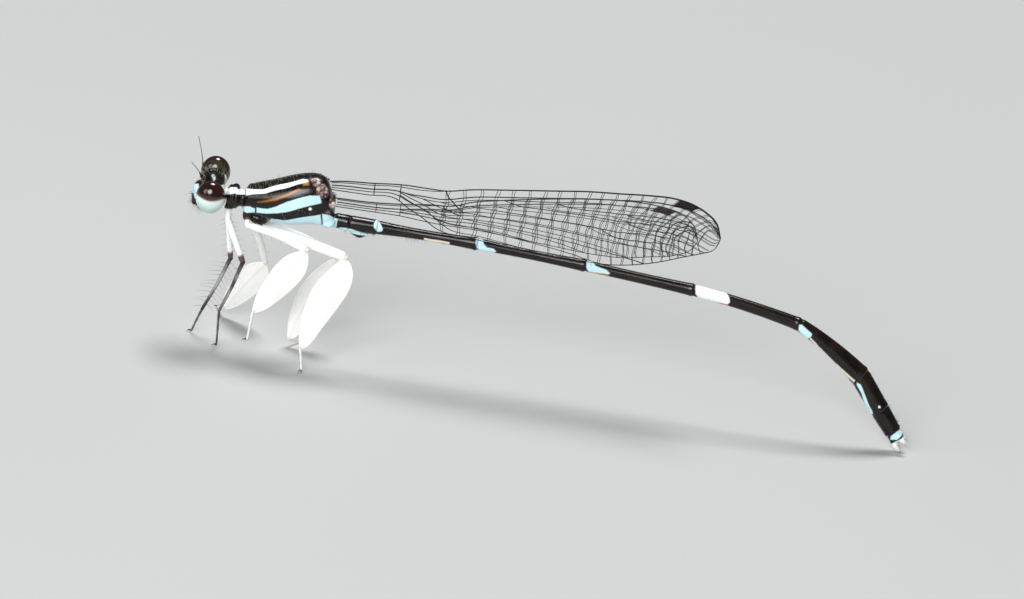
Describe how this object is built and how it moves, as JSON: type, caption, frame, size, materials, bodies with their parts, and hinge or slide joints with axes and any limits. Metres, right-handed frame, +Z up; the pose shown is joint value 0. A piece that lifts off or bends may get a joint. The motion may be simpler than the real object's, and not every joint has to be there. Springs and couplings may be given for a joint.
{
  "type": "damselfly",
  "caption": "Life-size still damselfly with closed wings, leaf-shaped white shins, a long curved abdomen and a floor stance.",
  "frame": {"origin": "the middle of the model's underside, on the floor that its feet and tail tip stand on", "axes": "+X from the head to the tail, +Y to the animal's right, +Z up"},
  "size_m": [0.0416, 0.0084, 0.0132],
  "materials": {
    "head": "glossy bronze-black with pale patches on the face",
    "eye": "glossy, dark red above and pale blue-green below",
    "antenna": "satin black",
    "thorax": "glossy black with white and pale blue stripes",
    "abdomen": "glossy black with pale blue rings",
    "tail_tip": "satin white and pale blue",
    "wing": "clear membrane with dark veins",
    "white_leg": "satin ivory white",
    "dark_leg": "satin grey-brown"
  },
  "bodies": {
    "root": {"head": "head", "eye_left": "eye", "eye_right": "eye", "antenna_left": "antenna", "antenna_right": "antenna", "prothorax": "thorax", "thorax": "thorax", "abdomen_1": "abdomen", "abdomen_2": "abdomen", "abdomen_3": "abdomen", "abdomen_4": "abdomen", "abdomen_5": "abdomen", "abdomen_6": "abdomen", "abdomen_7": "abdomen", "abdomen_8": "abdomen", "abdomen_9": "abdomen", "abdomen_10": "tail_tip", "forewing_left": "wing", "forewing_right": "wing", "hindwing_left": "wing", "hindwing_right": "wing", "femur_mid_left": "white_leg", "tibia_mid_left": "white_leg", "tarsus_mid_left": "white_leg", "femur_mid_right": "white_leg", "tibia_mid_right": "white_leg", "tarsus_mid_right": "white_leg", "femur_hind_left": "white_leg", "tibia_hind_left": "white_leg", "tarsus_hind_left": "white_leg", "femur_hind_right": "white_leg", "tibia_hind_right": "white_leg", "tarsus_hind_right": "white_leg", "femur_front_left": "white_leg", "femur_front_right": "white_leg", "tibia_front_left": "dark_leg", "tarsus_front_left": "dark_leg", "tibia_front_right": "dark_leg", "tarsus_front_right": "dark_leg"}
  },
  "joints": []
}
